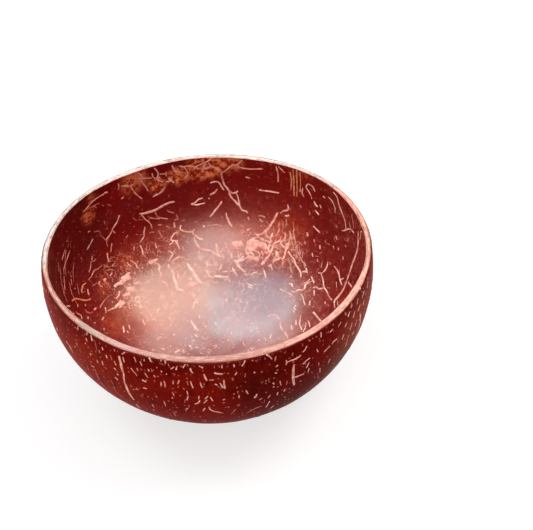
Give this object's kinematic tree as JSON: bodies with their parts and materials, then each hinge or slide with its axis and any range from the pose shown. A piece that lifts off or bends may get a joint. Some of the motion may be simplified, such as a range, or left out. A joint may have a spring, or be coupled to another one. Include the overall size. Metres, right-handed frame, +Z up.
{
  "type": "coconut shell bowl",
  "caption": "Half coconut shell sawn level and sanded flat underneath, with an open round hollow for food and pale fibre strands bedded in its oiled walls.",
  "frame": {"origin": "middle of the flat sanded base", "axes": "+Z up out of the open mouth; -Y is the side that faces the viewer in the picture, +X its right"},
  "size_m": [0.1369, 0.1364, 0.065],
  "materials": {
    "shell": "oiled hard shell, satin, deep maroon inside and red-brown outside, with a bare pale rim",
    "strand": "pale fibre, sanded and oiled",
    "flake": "pale inner skin, thin and matt under the oil"
  },
  "bodies": {
    "root": {"shell": "shell", "inner_strands": "strand", "strand_fan": "strand", "fibre_bundle": "strand", "skin_flakes": "flake", "outer_fibres": "strand"}
  },
  "joints": []
}
